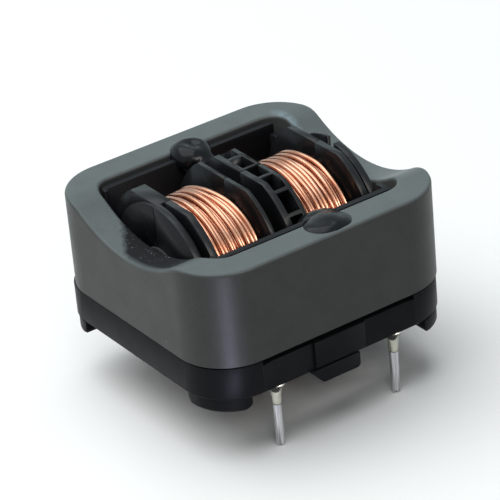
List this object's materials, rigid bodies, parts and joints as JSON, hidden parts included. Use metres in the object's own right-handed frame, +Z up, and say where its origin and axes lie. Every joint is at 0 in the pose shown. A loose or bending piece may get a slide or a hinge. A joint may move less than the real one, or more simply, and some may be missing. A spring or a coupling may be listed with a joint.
{
  "type": "common mode choke",
  "caption": "Through-hole common mode choke: rounded ferrite ring with a centre leg, split bobbin, copper windings on both sides of a middle web, and a low base with solder pins.",
  "frame": {"origin": "centre of the pin pattern, level with the pin tips", "axes": "+Z up from the circuit board, +X along the centre leg on which both windings sit, Y across it towards the long sides that carry the pins"},
  "size_m": [0.026, 0.025, 0.0198],
  "materials": {
    "ferrite": "sintered and tumbled, dark grey, satin",
    "base_plastic": "moulded black, fine grain",
    "bobbin_plastic": "moulded black, glossy rims",
    "copper_wire": "copper with clear enamel",
    "tinned_pin": "drawn and tinned",
    "solder": "solder with flux residue",
    "adhesive": "cured black adhesive"
  },
  "bodies": {
    "root": {"ferrite_core": "ferrite", "base": "base_plastic", "bobbin_front": "bobbin_plastic", "bobbin_rear": "bobbin_plastic", "winding_left": "copper_wire", "winding_right": "copper_wire", "pin_left_front": "tinned_pin", "pin_right_front": "tinned_pin", "pin_left_rear": "tinned_pin", "pin_right_rear": "tinned_pin", "solder_left_front": "solder", "solder_right_front": "solder", "solder_left_rear": "solder", "solder_right_rear": "solder", "glue_front": "adhesive", "glue_rear": "adhesive"}
  },
  "joints": []
}
